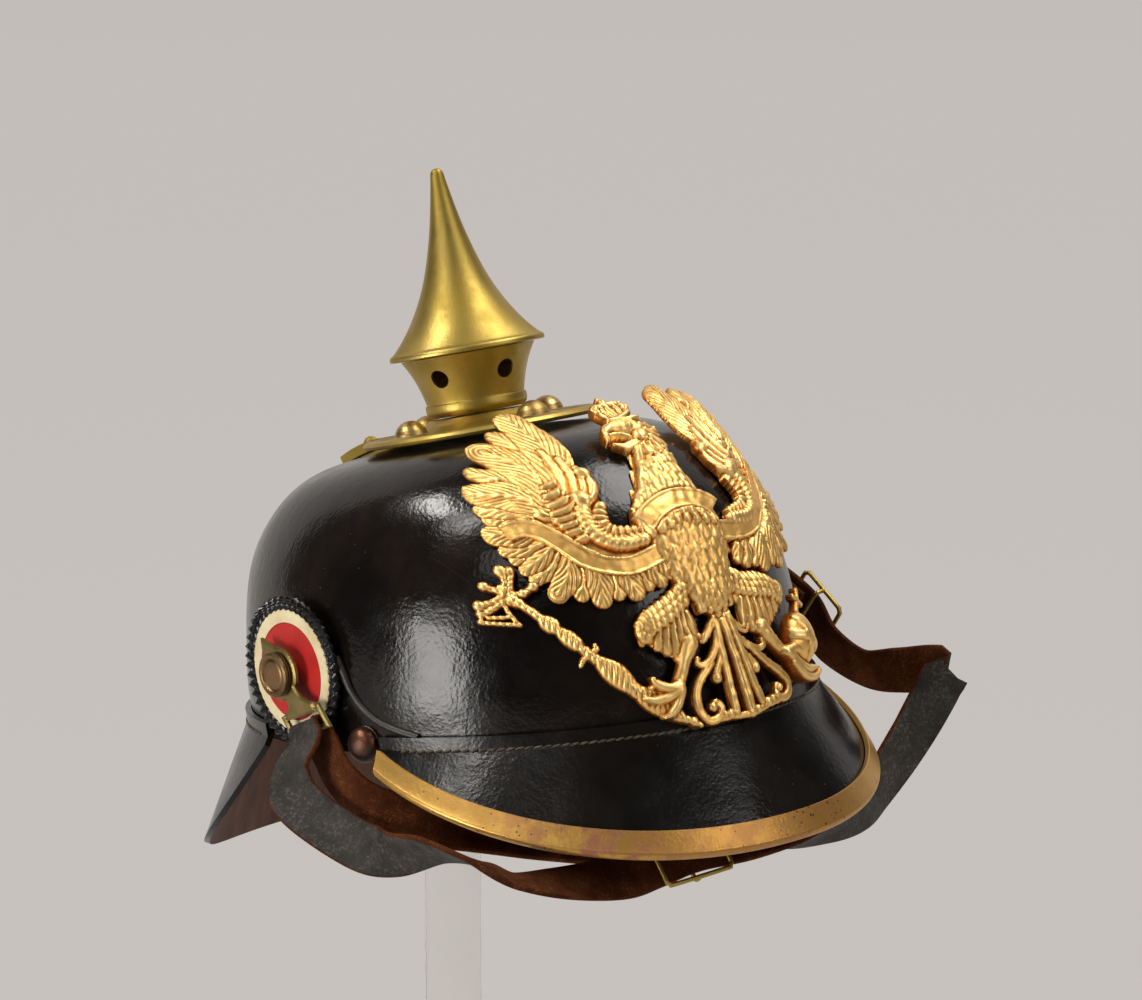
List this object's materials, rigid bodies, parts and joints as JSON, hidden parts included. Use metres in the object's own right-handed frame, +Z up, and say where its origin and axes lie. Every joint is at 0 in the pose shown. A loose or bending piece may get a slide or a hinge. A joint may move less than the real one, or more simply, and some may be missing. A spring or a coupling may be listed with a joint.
{
  "type": "pickelhaube on a display stand",
  "caption": "Black leather spiked helmet with front and rear visors, gilt eagle plate, side cockades and chin strap, tilted back on a clear post stand.",
  "frame": {"origin": "centre of the underside of the stand's square base, on the axis of the post", "axes": "+Z up, -Y towards the front of the helmet, +X towards the wearer's left"},
  "size_m": [0.228, 0.2689, 0.3896],
  "materials": {
    "black_leather": "glossy black lacquer, scuffed and crazed",
    "strap_leather": "worn black grain, brown flesh side",
    "aged_brass": "dulled olive brass",
    "trim_brass": "brass with red-brown tarnish",
    "gilt_brass": "bright gilt",
    "rivet_copper": "brown patina",
    "post_bronze": "brown bronze, worn",
    "cockade_right_paint": "black rim, cream ring, red centre",
    "cockade_left_paint": "black rim, white ring, black centre",
    "clear_acrylic": "clear, polished"
  },
  "bodies": {
    "helmet": {"skull": "black_leather", "front_visor": "black_leather", "rear_visor": "black_leather", "front_visor_trim": "trim_brass", "spike_base": "aged_brass", "spike_neck": "aged_brass", "spike": "aged_brass", "base_stud_front": "aged_brass", "base_stud_left": "aged_brass", "base_stud_back": "aged_brass", "base_stud_right": "aged_brass", "rear_spine": "aged_brass", "front_plate": "gilt_brass", "cockade_right": "cockade_right_paint", "cockade_left": "cockade_left_paint", "side_post_right": "post_bronze", "side_post_left": "post_bronze", "strap_lug_right": "aged_brass", "strap_lug_left": "aged_brass", "trim_rivet_right": "rivet_copper", "trim_rivet_left": "rivet_copper", "chin_strap": "strap_leather", "front_slider": "aged_brass", "left_slider": "aged_brass", "stand_base": "clear_acrylic", "stand_post": "clear_acrylic", "stand_pad": "clear_acrylic"},
    "slide": {"vent_slide": "aged_brass"}
  },
  "joints": [
    {"name": "vent_slide_travel", "type": "hinge", "parent": "helmet", "child": "slide", "pos_m": [0, 0.0006, 0.2051], "axis": [-1, 0, 0], "range_deg": [0, 10]}
  ]
}
